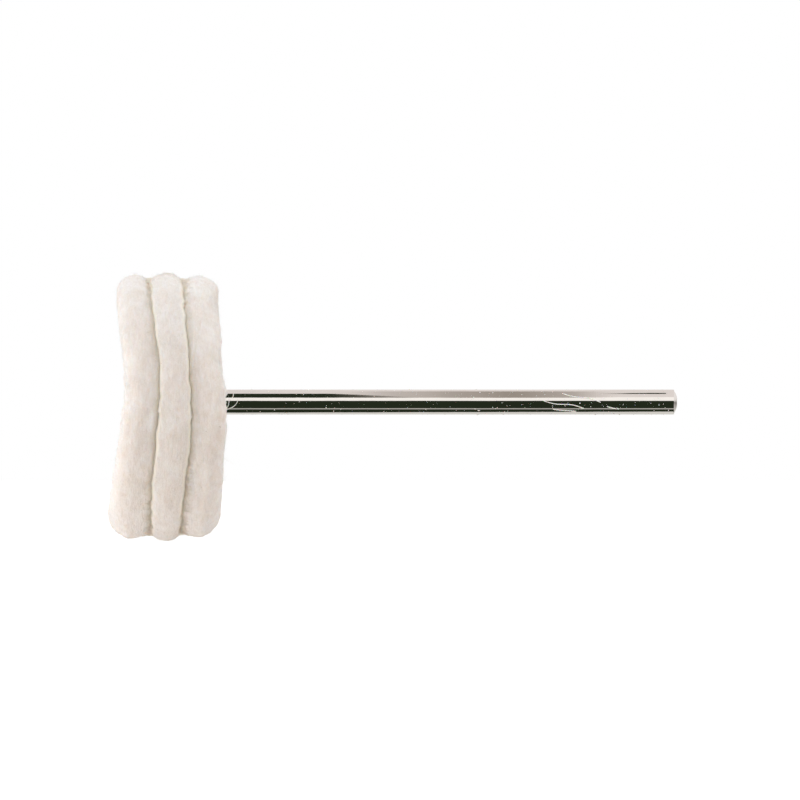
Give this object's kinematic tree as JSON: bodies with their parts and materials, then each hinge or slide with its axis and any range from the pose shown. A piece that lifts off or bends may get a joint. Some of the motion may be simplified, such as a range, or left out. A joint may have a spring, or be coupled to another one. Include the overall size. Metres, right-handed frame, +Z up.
{
  "type": "felt polishing wheel",
  "caption": "Small polishing wheel of stacked white felt discs, clamped by washers and a slotted screw on a slim plated mandrel with a plain round shank.",
  "frame": {"origin": "centre of the shank's flat free end, which the collet takes", "axes": "+X along the shank's axis, out of its free end and into the tool; the felt is at the -X end; +Z up, with the view along +Y showing the wheel from the side"},
  "size_m": [0.0533, 0.0252, 0.0251],
  "materials": {
    "plated_steel": "bright nickel plate with fine handling scratches",
    "washer_steel": "plated, lightly rubbed",
    "screw_steel": "plated, turned face",
    "white_felt": "undyed pressed wool felt, short fuzz"
  },
  "bodies": {
    "mandrel_and_felt": {"mandrel": "plated_steel", "rear_washer": "washer_steel", "felt_disc_rear": "white_felt", "felt_disc_middle": "white_felt", "felt_disc_front": "white_felt"},
    "washer": {"front_washer": "washer_steel"},
    "screw": {"clamp_screw": "screw_steel"}
  },
  "joints": [
    {"name": "screw_advance", "type": "slide", "parent": "mandrel_and_felt", "child": "washer", "axis": [-1, 0, 0], "range_m": [0, 0.0014]},
    {"name": "screw_turn", "type": "hinge", "parent": "washer", "child": "screw", "pos_m": [-0.05091, 0, 0], "axis": [-1, 0, 0], "range_deg": [0, 1440]}
  ],
  "couplings": [
    {"joint": "screw_turn", "follows": "screw_advance", "rad_per_m": 17952}
  ]
}
